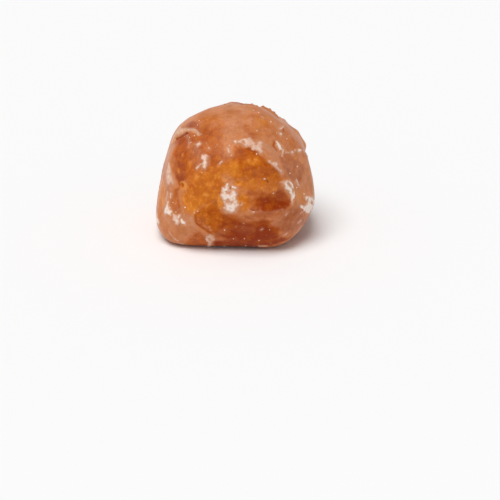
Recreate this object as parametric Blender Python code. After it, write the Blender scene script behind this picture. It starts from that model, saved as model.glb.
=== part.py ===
"""A glazed yeast doughnut hole: one uneven, round-cornered lump of fried dough. Metres, +Z up.

The lump stands on its flat underside with its origin at the middle of that base, and -Y is its shown side.
Its main form is a set of flats, which the dough got from its neighbours as it proved and fried, rounded into
each other. Swellings, folds, creases and pits are raised on that form or sunk into it, and sugar crusts, where
the glaze dried thick, stand a little above it.

A place on the lump is an azimuth from the shown side towards +X and an elevation, both in degrees, as they are
seen from the lump's centre.
"""

import math

import bmesh
import bpy
import numpy as np
from mathutils import Vector, noise

MM = 0.001

# The lump's own size
WIDTH = 44.0 * MM
DEPTH = 41.5 * MM
HEIGHT = 36.0 * MM

# How much of the underside is pressed flat by the lump's own weight
PRESSED_FLAT = 0.6 * MM

# Number of faces along each side of the cube that is blown up into the lump
SEGMENTS = 30

# How crisply the flats meet: 2 gives a ball, and 20 a cut stone
CORNER_SHARPNESS = 12.0

# Each flat's azimuth, elevation and distance from the centre
FLATS = (
    (-8, 10, 20.2 * MM),
    (45, 14, 20.9 * MM),
    (94, 11, 20.2 * MM),
    (137, 8, 21.4 * MM),
    (180, 10, 20.0 * MM),
    (-138, 7, 21.4 * MM),
    (-94, 14, 18.7 * MM),
    (-50, 8, 21.0 * MM),
    (2, 50, 20.8 * MM),
    (62, 46, 20.8 * MM),
    (117, 50, 21.0 * MM),
    (180, 52, 20.4 * MM),
    (-120, 50, 20.5 * MM),
    (-60, 50, 20.9 * MM),
    (0, 90, 21.0 * MM),
    (-5, -30, 20.8 * MM),
    (73, -37, 22.2 * MM),
    (130, -35, 23.0 * MM),
    (180, -33, 21.5 * MM),
    (-135, -32, 23.5 * MM),
    (-82, -24, 24.8 * MM),
    (0, -90, 15.0 * MM),
)

# Uneven rise of the dough: the height of its waves, the distance between them, and where they start
RISE_WAVES = ((0.4 * MM, 13 * MM, 3.0), (0.1 * MM, 5 * MM, 11.0))

# Swellings and hollows: azimuth, elevation, half length, half width, turn of the length from level, height
SWELLINGS = (
    (24, 2, 6.5 * MM, 2.6 * MM, 0, -0.75 * MM),
    (2, 18, 1.8 * MM, 1.6 * MM, 0, -0.6 * MM),
    (16, 18, 5.0 * MM, 1.7 * MM, -5, -0.35 * MM),
    (12, 32, 5.5 * MM, 4.5 * MM, 0, 0.4 * MM),
    (-22, 12, 5.0 * MM, 6.5 * MM, 0, 0.3 * MM),
    (-42, 11, 1.4 * MM, 1.4 * MM, 0, -0.6 * MM),
    (-38, 30, 3.5 * MM, 4.0 * MM, 0, -0.3 * MM),
    (-8, -14, 5.0 * MM, 3.0 * MM, 30, -0.35 * MM),
    (60, 12, 3.5 * MM, 6.0 * MM, 0, -0.3 * MM),
    (74, -15, 4.5 * MM, 2.4 * MM, -12, -0.3 * MM),
    (132, 24, 2.4 * MM, 5.0 * MM, 15, -0.5 * MM),
    (150, -5, 5.0 * MM, 4.0 * MM, 0, 0.4 * MM),
    (176, 20, 6.0 * MM, 2.4 * MM, 20, -0.6 * MM),
    (-165, 44, 4.0 * MM, 3.0 * MM, 0, 0.4 * MM),
    (-150, -2, 2.4 * MM, 5.0 * MM, 10, -0.5 * MM),
    (-126, 18, 4.5 * MM, 4.0 * MM, 0, 0.35 * MM),
    (-76, 4, 1.8 * MM, 4.0 * MM, 0, -0.3 * MM),
    (-30, 74, 4.0 * MM, 3.0 * MM, 0, -0.3 * MM),
    (120, 76, 4.5 * MM, 3.0 * MM, 0, 0.3 * MM),
)

# A swelling ends where the lump has turned this far away from its middle, as the cosine of the angle
SWELLING_REACH = 0.2

# Folds and creases: half width, height, and the places that each one runs through
FOLDS = (
    (1.4 * MM, 0.5 * MM, ((5, 0), (14, -4), (27, -6), (41, -4))),
    (1.8 * MM, 0.4 * MM, ((2, 50), (14, 46), (25, 40), (31, 30), (39, 21), (43, 7), (46, -2))),
    (1.4 * MM, 0.5 * MM, ((-76, 42), (-66, 47), (-55, 50), (-46, 49))),
    (1.4 * MM, -0.45 * MM, ((-80, 54), (-65, 58), (-50, 59), (-36, 54))),
    (1.3 * MM, -0.25 * MM, ((-74, 33), (-62, 40), (-50, 43))),
    (1.6 * MM, 0.35 * MM, ((-60, 30), (-56, 14), (-54, 0), (-50, -12))),
    (1.4 * MM, 0.3 * MM, ((-66, -17), (-58, -25), (-46, -32))),
    (1.5 * MM, 0.3 * MM, ((-34, -6), (-30, -12), (-20, -23))),
    (1.6 * MM, 0.25 * MM, ((68, 36), (74, 24), (74, 10), (70, -4))),
    (1.5 * MM, -0.4 * MM, ((120, -4), (130, 2), (142, 4))),
    (2.2 * MM, 0.45 * MM, ((140, 14), (152, 20), (168, 30), (186, 34))),
    (1.5 * MM, -0.4 * MM, ((165, -8), (178, -3), (192, -6), (203, 2))),
    (2.0 * MM, 0.4 * MM, ((-160, 14), (-146, 22), (-134, 34), (-128, 46))),
    (2.2 * MM, 0.35 * MM, ((-132, -8), (-122, -5), (-112, -4))),
    (1.6 * MM, -0.35 * MM, ((150, 58), (-175, 64), (-140, 62))),
)

# How steeply a crust's edge falls: 2 gives the round back that a fold has, and more a flatter top
CRUST_EDGE = 3

# Sugar crusts: half width, height, and the places that each one runs through
CRUSTS = (
    (2.4 * MM, 0.4 * MM, ((-4, 12), (-4, 5), (-2, -1))),
    (1.6 * MM, 0.3 * MM, ((4, 48), (14, 46), (24, 41))),
    (1.4 * MM, 0.25 * MM, ((30, 31), (38, 22))),
    (1.5 * MM, 0.35 * MM, ((39, 12), (43, 7), (46, -1))),
    (2.0 * MM, 0.3 * MM, ((58, -5), (62, -8))),
    (1.4 * MM, 0.25 * MM, ((44, 41), (48, 38))),
    (1.5 * MM, 0.3 * MM, ((-62, 20), (-57, 13), (-53, 8))),
    (1.5 * MM, 0.3 * MM, ((-55, -7), (-53, -12), (-45, -15))),
    (1.6 * MM, 0.35 * MM, ((-24, -28), (-22, -35))),
    (1.4 * MM, 0.25 * MM, ((-26, 35), (-25, 29))),
    (1.8 * MM, 0.25 * MM, ((70, 16), (74, 22))),
    (1.6 * MM, 0.3 * MM, ((126, 38), (132, 34))),
    (1.8 * MM, 0.35 * MM, ((134, 4), (139, -3), (140, -10))),
    (2.4 * MM, 0.35 * MM, ((164, 44), (172, 47), (182, 46))),
    (1.7 * MM, 0.3 * MM, ((-170, -10), (-163, -14))),
    (2.0 * MM, 0.3 * MM, ((-152, 30), (-146, 36))),
    (2.2 * MM, 0.3 * MM, ((-126, -18), (-118, -16))),
    (1.6 * MM, 0.3 * MM, ((70, 72), (100, 76))),
)


def towards(azimuth, elevation):
    """The unit vector from the centre towards a place."""
    a = math.radians(azimuth)
    e = math.radians(elevation)
    return np.array([math.sin(a) * math.cos(e), -math.cos(a) * math.cos(e), math.sin(e)])


def blown_up_cube(name):
    """A cube of SEGMENTS squares along each side, pushed out to a ball of radius 1 with squares of even size."""
    mesh = bpy.data.meshes.new(name)
    shell = bmesh.new()
    bmesh.ops.create_cube(shell, size=2.0)
    bmesh.ops.subdivide_edges(shell, edges=shell.edges[:], cuts=SEGMENTS - 1, use_grid_fill=True)
    for vertex in shell.verts:
        vertex.co = Vector(math.tan(c * math.pi / 4) for c in vertex.co).normalized()
    shell.to_mesh(mesh)
    shell.free()
    return mesh


def rounded_flats(directions):
    """Distance from the centre to the lump's main form along each direction."""
    pressed = np.zeros(len(directions))
    for azimuth, elevation, distance in FLATS:
        facing = np.clip(directions @ towards(azimuth, elevation), 0, None)
        pressed += (facing / distance) ** CORNER_SHARPNESS
    return pressed ** (-1 / CORNER_SHARPNESS)


def uneven_rise(points):
    """Height of the dough's waves at each point."""
    heights = np.zeros(len(points))
    for height, length, start in RISE_WAVES:
        offset = Vector((start, start, start))
        waves = [noise.noise(Vector(point) / length + offset) for point in points]
        heights += height * np.array(waves)
    return heights


def swelling(directions, radii, azimuth, elevation, half_length, half_width, turn, height):
    """Height of one rounded swelling, or depth of one hollow, in each direction."""
    middle = towards(azimuth, elevation)
    level = towards(azimuth + 90, 0)
    upward = np.cross(level, middle)
    t = math.radians(turn)
    facing = directions @ middle
    reach = radii / np.clip(facing, SWELLING_REACH, None)
    across = directions @ level * reach
    up = directions @ upward * reach
    along = (across * math.cos(t) + up * math.sin(t)) / half_length
    aside = (up * math.cos(t) - across * math.sin(t)) / half_width
    bell = np.exp(-(along ** 2 + aside ** 2))
    return height * np.where(facing > SWELLING_REACH, bell, 0)


def distance_to_path(directions, radii, places):
    """Distance over the surface from each direction to a run of straight lines through the places."""
    nearest = np.full(len(directions), np.inf)
    corners = [towards(azimuth, elevation) for azimuth, elevation in places]
    for start, end in zip(corners, corners[1:]):
        line = end - start
        share = np.clip((directions - start) @ line / (line @ line), 0, 1)
        gap = np.linalg.norm(directions - start - share[:, None] * line, axis=1)
        nearest = np.minimum(nearest, gap)
    return nearest * radii


def relief(directions, radii):
    """Height of all swellings, folds and crusts in each direction."""
    heights = uneven_rise(directions * radii[:, None])
    for place_and_size in SWELLINGS:
        heights += swelling(directions, radii, *place_and_size)
    for half_width, height, places in FOLDS:
        away = distance_to_path(directions, radii, places) / half_width
        heights += height * np.exp(-away ** 2)
    crust_top = np.zeros(len(directions))
    for half_width, height, places in CRUSTS:
        away = distance_to_path(directions, radii, places) / half_width
        crust_top = np.maximum(crust_top, height * np.exp(-away ** CRUST_EDGE))
    return heights + crust_top


def fitted_to_size(points):
    """The points scaled to the lump's size, with the pressed underside at z = 0 and its middle at the origin."""
    low = points.min(axis=0)
    high = points.max(axis=0)
    low[2] += PRESSED_FLAT
    size = np.array([WIDTH, DEPTH, HEIGHT])
    fitted = (points - low) / (high - low) * size - np.array([WIDTH / 2, DEPTH / 2, 0])
    fitted[:, 2] = np.clip(fitted[:, 2], 0, None)
    return fitted


def dough():
    """The lump's material: a golden-brown crust under dried sugar glaze."""
    material = bpy.data.materials.new("glazed_crust")
    material.use_nodes = True
    shader = material.node_tree.nodes["Principled BSDF"]
    shader.inputs["Base Color"].default_value = (0.47, 0.16, 0.045, 1.0)
    shader.inputs["Roughness"].default_value = 0.45
    return material


def doughnut():
    """The lump as one object."""
    mesh = blown_up_cube("doughnut")
    directions = np.array([vertex.co for vertex in mesh.vertices])
    radii = rounded_flats(directions)
    radii = radii + relief(directions, radii)
    points = fitted_to_size(directions * radii[:, None])
    mesh.vertices.foreach_set("co", points.astype(np.float32).ravel())
    mesh.update()
    mesh.materials.append(dough())
    return bpy.data.objects.new("doughnut", mesh)


def main():
    for old in list(bpy.data.objects):
        bpy.data.objects.remove(old)
    collection = bpy.data.collections.new("glazed_doughnut_hole")
    bpy.context.scene.collection.children.link(collection)
    collection.objects.link(doughnut())


main()
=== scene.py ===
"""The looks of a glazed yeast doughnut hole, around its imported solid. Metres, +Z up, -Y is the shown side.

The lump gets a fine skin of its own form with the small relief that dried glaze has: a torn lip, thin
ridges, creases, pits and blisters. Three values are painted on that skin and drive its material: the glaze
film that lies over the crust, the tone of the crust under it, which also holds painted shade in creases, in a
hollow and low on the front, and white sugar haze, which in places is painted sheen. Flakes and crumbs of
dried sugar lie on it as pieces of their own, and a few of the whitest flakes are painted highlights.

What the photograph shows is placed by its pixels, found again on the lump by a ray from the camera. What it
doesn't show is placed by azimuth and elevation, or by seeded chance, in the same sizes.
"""

import math
import random

import bmesh
import bpy
import numpy as np
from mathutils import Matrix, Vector, noise
from mathutils.bvhtree import BVHTree


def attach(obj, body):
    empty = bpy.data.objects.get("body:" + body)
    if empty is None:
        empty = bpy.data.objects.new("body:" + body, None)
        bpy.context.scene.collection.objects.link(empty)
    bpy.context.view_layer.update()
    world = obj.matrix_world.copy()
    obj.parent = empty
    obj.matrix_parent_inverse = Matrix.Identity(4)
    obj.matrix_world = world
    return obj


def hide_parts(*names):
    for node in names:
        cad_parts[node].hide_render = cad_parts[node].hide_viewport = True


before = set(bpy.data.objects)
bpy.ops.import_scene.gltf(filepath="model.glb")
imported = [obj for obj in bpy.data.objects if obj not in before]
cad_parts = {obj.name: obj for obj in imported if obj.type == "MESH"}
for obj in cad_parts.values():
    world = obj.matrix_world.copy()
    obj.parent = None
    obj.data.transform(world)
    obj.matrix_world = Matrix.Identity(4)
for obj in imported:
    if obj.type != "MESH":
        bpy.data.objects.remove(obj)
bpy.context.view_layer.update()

MM = 0.001

# The photograph's frame, in pixels, and what one pixel spans at the lump
PHOTO_SIDE = 500
PIXEL = 0.275 * MM

# The camera: its lens and sensor in millimetres, how far it looks down, and the pixel of the lump's middle
LENS = 100.0
SENSOR = 36.0
LOOKS_DOWN = math.radians(24)
MIDDLE_SEEN_AT = (235.3, 167.7)
MIDDLE = Vector((0, 0, 18 * MM))

# Directions on the lump are taken from this point
CENTRE = Vector((0, 0, 15 * MM))

FOCAL = LENS / SENSOR * PHOTO_SIDE
PHOTO_MIDDLE = PHOTO_SIDE / 2
RIGHT = Vector((1, 0, 0))
UP = Vector((0, math.sin(LOOKS_DOWN), math.cos(LOOKS_DOWN)))
BACK = Vector((0, -math.cos(LOOKS_DOWN), math.sin(LOOKS_DOWN)))

# What faces the camera less than this, as the cosine of the angle, is a hidden side. What is drawn by pixels
# fades out between the next two, and the lip and its haze sooner, so that they end softly round the corner
HIDDEN_BELOW = 0.02
FADE = (-0.05, 0.25)
HAZE_FADE = (0.14, 0.52)

# The fine skin: squares along each side of its cube, how its facets are smoothed away, and the gap in its UV
# map
SKIN_SEGMENTS = 128
SMOOTHING_ROUNDS = 25
SMOOTHING_SHARE = 0.5
UV_GAP = 0.01

# Noise that makes painted outlines uneven: shift, length of its waves, and where it starts on the first axis,
# with the step to the next one
WOBBLES = ((1.6 * MM, 3.4 * MM, 21.0), (0.6 * MM, 1.0 * MM, 31.0))
NEXT_AXIS = 3.7

# How soft an edge has to be for the whole shift, the least share of it, and the share for lines and flakes
WOBBLE_SOFTNESS = 2.5 * MM
LEAST_WOBBLE = 0.12
LINE_WOBBLE = 0.3

# How far around its corners a painted zone can reach
ZONE_MARGIN = 4.0 * MM

# The glaze film and the tone of the crust where the shown side has no zone, and the film in creases
SHOWN_FILM = 0.78
SHOWN_TONE = 0.45
CREASE_FILM = 0.05

# The haze around a flake: how wide it is, how far inside the edge it is full, and how strong
FLAKE_HALO = 0.7 * MM
HALO_FULL = 0.2 * MM
HALO_HAZE = 0.5

# Small unevenness of the skin: height, length of the waves, and where the noise starts
SKIN_WAVES = ((0.07 * MM, 3.2 * MM, 41.0), (0.03 * MM, 1.3 * MM, 43.0), (0.012 * MM, 0.6 * MM, 47.0))

# How far the glaze film stands above bare crust
FILM_STEP = 0.13 * MM

# Noise in the paint, as height, length of its waves and where it starts: patches of film on the hidden sides,
# the tone of the crust there, and mottling of the film
PATCH_WAVES = ((1, 11 * MM, 61.0), (0.25, 2.4 * MM, 67.0))
TONE_WAVES = ((0.40, 8 * MM, 71.0),)
MOTTLE_WAVES = ((0.4, 2.2 * MM, 73.0), (0.7, 0.9 * MM, 79.0))

# The film of the hidden sides: the noise at the edges of its patches, how much it is there and at most, and
# the sines of the elevations between which it closes towards the top
PATCH_EDGE = (-0.22, 0.10)
PATCH_FILM = 0.75
MOST_FILM = 0.85
TOP_EDGE = (0.45, 0.85)

# The cosines of the angle to the camera between which the paint of the hidden sides gives way
SHOWN_EDGE = (0.1, 0.45)

# In the tables from here on, lengths are in millimetres and places are pixels of the photograph, unless one
# says otherwise

# Gentle swellings and flats: half width, height, and the places that each one runs through
SHOWN_SWELLS = (
    (5, -0.8, ((202, 105), (212, 101))),
    (1.6, 0.22, ((180, 122.5), (188, 116))),
    (1.6, 0.3, ((223, 101.6), (227, 101))),
    (2.4, 0.26, ((175.5, 131), (172, 138))),
    (1.2, 0.5, ((233, 100.8), (238, 100.6))),
    (4, -0.5, ((246, 100), (255, 101))),
    (1.3, 0.76, ((266, 106.4), (273.5, 111), (277, 113.6))),
    (4.5, -1.05, ((284, 115), (288, 119))),
    (1.6, 0.6, ((291, 123.6), (296, 129))),
    (1.8, 0.4, ((299.5, 134), (303.5, 142))),
    (1.5, 0.62, ((306, 147), (307, 151))),
    (2.4, -0.72, ((309, 155), (311, 163), (312.5, 170))),
    (2.6, -0.62, ((309, 156.4), (309.8, 159))),
    (3, -0.32, ((157, 182), (154.4, 204))),
    (3, 0.2, ((171, 134), (167.4, 148), (163.4, 162))),
)

# Ridges and creases: half width, height, and the places that each one runs through
SHOWN_RIDGES = (
    (0.32, -0.4, ((175.2, 139.8), (180.6, 136.4), (187.8, 132.8))),
    (0.8, -0.25, ((182, 127.5), (192, 126.5), (200, 129.5))),
    (0.45, 0.09, ((246, 206.5), (250, 210), (254, 212), (262, 211.8), (276, 211), (284, 208), (288, 203))),
    (0.26, 0.18, ((262.5, 145.7), (271.2, 151.7), (278.8, 154.4))),
    (0.24, 0.14, ((264.5, 151.5), (268.5, 156), (273, 159.5))),
    (0.26, 0.1, ((203.6, 225.4), (207, 227.6), (210.3, 230))),
    (0.28, 0.1, ((212, 202), (206, 208), (200, 213))),
    (0.28, 0.14, ((282.5, 150), (286, 152.5), (293, 152.4), (301, 150))),
    (0.3, 0.16, ((169.5, 230), (173, 236), (179.3, 242))),
    (0.35, -0.12, ((223, 160), (217, 166), (209, 171))),
    (0.35, 0.12, ((188, 134), (189.6, 140), (188.8, 146))),
    (0.3, -0.14, ((176, 190), (176.5, 198), (179, 206))),
    (0.4, 0.16, ((228, 105.5), (238, 105.6), (246, 107))),
)

# The lip of torn glaze that lies over the crust: its corners, its height, and how soft its edge is
LIP = (
    (169.6, 144.5), (170.6, 137.5), (173.6, 130.6), (178.6, 126.8), (183.5, 128.4), (187.2, 128.6),
    (191.4, 128.8), (194.5, 128.2), (197.6, 129.6), (199.6, 132.6), (199.6, 135.2), (198, 135.8),
    (196.4, 133.8), (193.5, 132), (190.4, 131.4), (187.4, 132.2), (184.2, 133.6), (179.9, 136.2),
    (176.2, 138.6), (175.4, 141), (173, 144),
)
LIP_HEIGHT = 0.26 * MM
LIP_EDGE = 0.40 * MM

# Pits: the place, the radius, the depth and the height of the rim
SHOWN_PITS = (
    (182.4, 185.2, 0.62, 0.45, 0.16),
    (238, 182.6, 0.8, 0.22, 0.12),
    (267.6, 181.6, 0.28, 0.4, 0.08),
    (199, 130, 0.45, 0.35, 0),
)

# Blisters of the crust: the place, the radius and the height
SHOWN_BLISTERS = (
    (183, 155, 0.5, 0.18),
    (190, 163, 0.6, 0.2),
    (179, 171, 0.55, 0.2),
    (197, 176, 0.6, 0.14),
    (210, 185, 0.7, 0.14),
    (184, 200, 0.6, 0.14),
    (295, 159, 0.45, 0.18),
    (302.5, 160, 0.4, 0.16),
    (305, 173, 0.45, 0.18),
    (276, 189.5, 0.45, 0.16),
    (306, 177, 0.4, 0.16),
    (251, 182, 0.5, 0.12),
    (262, 188.4, 0.4, 0.12),
    (249, 161, 0.45, 0.12),
    (255.4, 160.4, 0.45, 0.12),
    (206, 195, 0.5, 0.12),
)

# Rough lumps of glaze along the upper edge: the place, the radius and the height
SHOWN_LUMPS = (
    (225, 103.6, 0.45, 0.22),
    (241, 103.2, 0.5, 0.2),
    (252, 104, 0.4, 0.34),
    (257, 105.6, 0.35, 0.22),
    (262.6, 106.5, 0.42, 0.36),
    (270, 109.5, 0.4, 0.28),
    (274.6, 111.8, 0.36, 0.26),
    (306.6, 153.6, 0.4, 0.24),
)

# Blisters show golden: how much of the paint they take over, and their glaze film
BLISTER_SHARE = 0.8
BLISTER_FILM = 0.20

# Painted zones, later over earlier ones: glaze film, tone of the crust, sugar haze, softness of the edge, and
# the corners of the outline. A few also hold painted light: shade low on the front, in a hollow and under the
# lip, and a highlight on the top
ZONES = (
    (0.4, 0.5, 0, 2.5, ((203, 118), (213, 115), (224, 117), (222, 122), (210, 124), (203, 122))),
    (0.19, 0.24, 0, 4, (
        (190, 134), (204, 127), (220, 126), (224, 134), (221, 150), (226, 160), (214, 170), (190, 170),
        (182, 150),
    )),
    (0.3, 0.12, 0, 1.3, (
        (181, 127.8), (184.5, 124.4), (191, 121.8), (198, 122.4), (201.6, 126), (201, 131), (198.6, 129.2),
        (195, 127.6), (188, 128),
    )),
    (0.42, 0, 0, 0.9, ((196.6, 126), (200.6, 126.6), (200.8, 131.4), (198, 130))),
    (0.09, 0.27, 0, 2, ((212.4, 134), (221, 134), (222, 150), (216, 160), (209, 160), (208, 146))),
    (0.1, 0.4, 0, 3, (
        (185, 160), (192, 158), (200, 163), (208, 164), (215, 160), (216, 166), (206, 173), (196, 178),
        (188, 184), (184, 178), (184, 168),
    )),
    (0.12, 0.2, 0, 3.2, (
        (176.5, 140), (187, 133.6), (191, 137), (190, 148), (188, 158), (187, 170), (180, 180), (175, 178),
        (173.4, 160),
    )),
    (0.31, 0.25, 0, 2.6, (
        (188, 141), (195, 140), (202, 150), (204, 159), (198, 165), (192, 160), (188, 150),
    )),
    (0.08, 0.16, 0, 1.4, ((175.5, 174), (186, 172.6), (188.4, 178), (182, 183), (176, 186))),
    (0.06, 0.51, 0, 2.8, (
        (182, 190), (187, 180), (196, 174), (208, 169), (218, 163), (230, 162), (232, 178), (227, 188),
        (222, 200), (212.6, 204), (203, 209), (194.5, 215), (187, 215), (182, 204), (180, 196),
    )),
    (0.03, 0.66, 0, 2, ((184, 205), (194, 199), (206, 196), (208, 204), (195, 212), (186, 213))),
    (0.03, 0.36, 0, 1.2, (
        (236, 148), (243, 148), (252, 149.6), (260, 155), (267, 160), (274, 167), (281, 175), (284, 181),
        (276, 181), (262, 178), (245, 178), (236, 180), (231, 174), (230, 160),
    )),
    (0.02, 0.2, 0, 1.5, (
        (236.5, 148), (248, 148.5), (256, 152), (263, 157), (256, 157), (246, 154), (237, 153),
    )),
    (0.02, 0.78, 0, 2.2, ((226, 165), (234, 162), (238, 170), (232, 175), (226, 172))),
    (0.03, 0.62, 0, 1.8, ((246, 159), (256, 158), (259, 164), (250, 167))),
    (0.16, 0.26, 0, 2.2, ((246, 168), (258, 167), (270, 170), (268, 175), (254, 176), (246, 174))),
    (0.14, 0.5, 0, 2, (
        (240, 184), (246, 178.6), (258, 177), (270, 176.6), (280, 179), (281, 189), (272, 191.6), (256, 191),
        (242, 191),
    )),
    (0.08, 0.66, 0, 1.4, ((251, 180), (258, 178.6), (260, 182), (254, 184.4))),
    (0.08, 0.72, 0, 1.2, ((262, 180.4), (266.4, 180.8), (266, 184.4), (262.4, 185.4))),
    (0.16, 0.24, 0, 1.8, (
        (246, 191.6), (264, 191.6), (282, 191.6), (286, 195), (280, 197.6), (262, 196.6), (246, 195.6),
    )),
    (0.01, 0.7, 0, 1.8, (
        (237, 195), (243, 194), (250, 197), (252, 203), (248, 208), (240, 209), (236.5, 203),
    )),
    # These two, in the hollow, are dark: partly the crust's deep tone, partly painted shade in the hollow
    (0.04, 0.1, 0, 2.6, (
        (253, 197), (263, 194.4), (276, 194.6), (289, 196.6), (292, 204), (286, 211.6), (270, 213.4),
        (257, 212.8), (252, 207),
    )),
    (0.02, 0, 0, 3.2, ((270, 199.4), (286, 199.4), (289, 204), (280, 209), (268, 208))),
    (0.32, 0.08, 0, 2.2, (
        (238, 213.6), (250, 213), (266, 214), (280, 214), (286, 216), (276, 218), (256, 217.6), (240, 217.6),
    )),
    (0.02, 0.22, 0, 3, (
        (206, 210), (216, 205), (224, 211), (236, 215), (243, 221), (237, 229), (222, 233), (211, 235),
        (204, 226),
    )),
    (0, 0.38, 0, 0.9, (
        (193.4, 213.6), (203, 207), (212.4, 202.8), (218, 206.4), (222, 214), (222, 226), (216, 232),
        (210.6, 232.8), (203, 228), (198, 224),
    )),
    # These two are darker towards the bottom: partly the crust's deeper tone there, partly painted shade from
    # below
    (0, 0.05, 0, 3, (
        (232, 222), (240, 220.6), (262, 220.6), (275, 222), (277, 230), (280, 238), (268, 242), (248, 244),
        (226, 240), (220, 236), (222, 228),
    )),
    (0, 0.06, 0, 2.4, (
        (214, 239), (232, 240), (252, 242), (268, 239.6), (284, 235), (292, 235.4), (286, 241), (280, 243),
        (262, 247), (240, 248.5), (216, 248), (211, 245),
    )),
    (0.16, 0.08, 0, 2.8, ((237, 225), (244, 224), (254, 226), (252, 232), (242, 233), (237, 230))),
    (0.3, 0.2, 0, 1.6, ((219, 229), (228, 226), (232, 230), (226, 234), (218, 234))),
    (0.78, 0.52, 0.04, 0.5, (
        (164, 214), (173, 213), (181, 215), (193.5, 214), (194.2, 216.3), (197.6, 224.4), (202.8, 227.8),
        (210.8, 233), (208, 239), (198, 244), (176, 243), (164, 234), (158, 222),
    )),
    (0.12, 0.28, 0, 2.4, ((193, 230), (200, 231), (209, 235), (212, 246), (192, 248), (184, 242))),
    (0.58, 0.02, 0, 2.6, (
        (283.8, 213), (299, 208.6), (305.5, 213), (308, 217.3), (304.4, 223.8), (298.4, 229.2), (291.9, 233),
        (284.9, 232.6), (278.4, 230.4), (276.2, 223.8), (281, 217.3),
    )),
    (0.62, 0.42, 0, 3, ((277, 134), (290, 130), (300, 140), (302, 149), (290, 150), (283, 145))),
    (0.64, 0.06, 0, 1.6, (
        (277, 156.5), (285, 154), (293, 155), (300, 162), (304, 172), (300, 182), (292, 178), (284, 171),
    )),
    (0.46, 0.82, 0.1, 2, ((296, 191), (302, 189.6), (305.5, 194), (304, 202), (299, 203), (296, 198))),
    (0.48, 0.62, 0, 3, ((256, 118), (264, 115), (272, 119), (273, 126), (266, 129), (258, 127))),
    (0.38, 0.5, 0, 2.2, ((263.6, 122), (268, 121.6), (270, 125), (266, 127), (263.6, 125.6))),
    (0.34, 0.24, 0, 2.8, ((245, 127.6), (251, 127.6), (257.4, 135), (254, 138), (246, 135))),
    (0.22, 0.72, 0, 1.6, ((159, 180), (164, 178), (166, 190), (164, 205), (158, 210), (157, 196))),
    (0.42, 0.3, 0, 1.2, ((173, 190), (178, 188), (180, 200), (182, 212), (175, 213), (171, 204))),
    (0.12, 1, 0.1, 0.6, (
        (179.4, 184), (181.4, 181.6), (185, 181.4), (186.4, 184.4), (185.6, 188.6), (182.6, 190.4),
        (180, 188.6),
    )),
    (0.02, 0.4, 0, 0.5, (
        (180.6, 184), (182.4, 182.6), (184.2, 184), (183.6, 187), (182, 188.6), (180.4, 187),
    )),
    (0.12, 1, 0, 0.9, (
        (234.4, 181), (238, 179.4), (242, 181.6), (242.4, 184.8), (238.6, 186.4), (234.6, 184.6),
    )),
    (0.02, 0.5, 0, 0.6, ((236.4, 181.6), (239, 181), (240.4, 183.4), (238, 184.6))),
    (0.03, 0.05, 0, 0.4, ((266.6, 179.8), (268, 180), (269, 182), (267.8, 182.6))),
    (0.1, 0.8, 0, 1, ((216, 199), (221, 197), (224, 203), (222, 209), (218, 206))),
    (0.92, 0.8, 0.62, 0.4, LIP),
    (0.95, 0.9, 0.8, 1, ((175.7, 133.5), (181, 129.6), (185.4, 130.2), (183.4, 133), (177.4, 136.6))),
    # Painted shade under the lip: a dark line with hardly any film
    (0.02, 0, 0, 0.35, (
        (175.6, 138.8), (180.2, 136), (187.4, 131.8), (188.2, 133), (181.4, 137.2), (176.2, 140.4),
    )),
    # Painted highlight on the top: pale film and haze where the light's sheen falls
    (0.85, 0.46, 0.2, 3, ((228, 121), (236, 118.6), (240, 123), (235, 127), (229, 126.4))),
    (0.55, 0.1, 0, 1, ((229, 101.6), (237, 101), (246, 102.6), (252, 104), (244, 104.4), (236, 103.6))),
)

# Creases with painted shade, dark where hardly any film lies and from the shade that falls in them: half
# width, tone, and the places that each one runs through
SHOWN_SHADED_CREASES = (
    (0.32, 0.1, ((194.8, 215.2), (198.2, 224.4), (201.7, 227), (210.9, 233.2))),
    (0.26, 0.15, ((229.4, 189), (231.2, 187.8))),
    (0.22, 0.15, ((250.8, 208.6), (254, 210.6))),
    (0.3, 0.15, ((283.6, 128.6), (284.4, 131.4))),
    (0.26, 0.15, ((274.4, 142), (274, 146), (276, 150))),
    (0.3, 0.12, ((178.8, 184), (179, 188.6), (176.4, 191))),
    (0.3, 0.2, ((176, 190), (176.5, 198), (179, 206))),
)

# White sugar haze, and painted sheen where the light catches the glaze: strength, half width, and the places
# that it runs through
SHOWN_HAZES_AND_SHEENS = (
    # Painted sheen: a pale column down from the highlight on the top
    (0.14, 2.4, ((233, 126), (226, 138), (226, 152))),
    (0.2, 1.6, ((226, 107), (238, 108), (245, 110))),
    (0.34, 0.5, ((228, 105.4), (238, 105.4), (243, 106.4))),
    # Painted sheen along the left side
    (0.3, 0.8, ((168.6, 152), (168.4, 165), (169, 185), (167, 212))),
    (0.24, 1.8, ((179, 220), (188, 219), (195, 224))),
    (0.15, 1.4, ((194, 146), (198, 152), (200, 160), (199, 166))),
    (0.26, 0.7, ((183, 126.6), (187, 122.4), (192, 119.6))),
    (0.2, 0.28, ((247, 207.5), (253.5, 212), (262, 211.8), (276, 211.6), (283, 209.6))),
    (0.26, 0.4, ((262.5, 145.7), (271.2, 151.7), (278.8, 154.4))),
    (0.22, 0.4, ((264.5, 151.5), (268.5, 156), (273, 159.5))),
    (0.32, 1.3, ((261, 143), (268, 147), (274, 153))),
    (0.55, 0.45, ((287.6, 241), (292, 237.6), (296.6, 233), (301, 228.6), (306, 223), (311, 216))),
    (0.14, 0.8, ((300, 186), (306, 176), (304, 160))),
    (0.35, 0.5, ((310.6, 170), (312, 182), (313.6, 194))),
    (0.24, 0.5, ((184, 133.6), (189.6, 139), (189.8, 143), (188.4, 147))),
    (0.3, 0.35, ((203.6, 225.4), (207, 227.6), (210.3, 230))),
    (0.16, 0.3, ((194, 212.4), (200, 208), (206.4, 204))),
    (0.25, 1.2, ((226, 178), (227.6, 183))),
    (0.4, 0.4, ((157, 224), (160, 231), (165, 238))),
    (0.22, 1.6, ((292, 124), (298, 132), (302, 142))),
)
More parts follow.
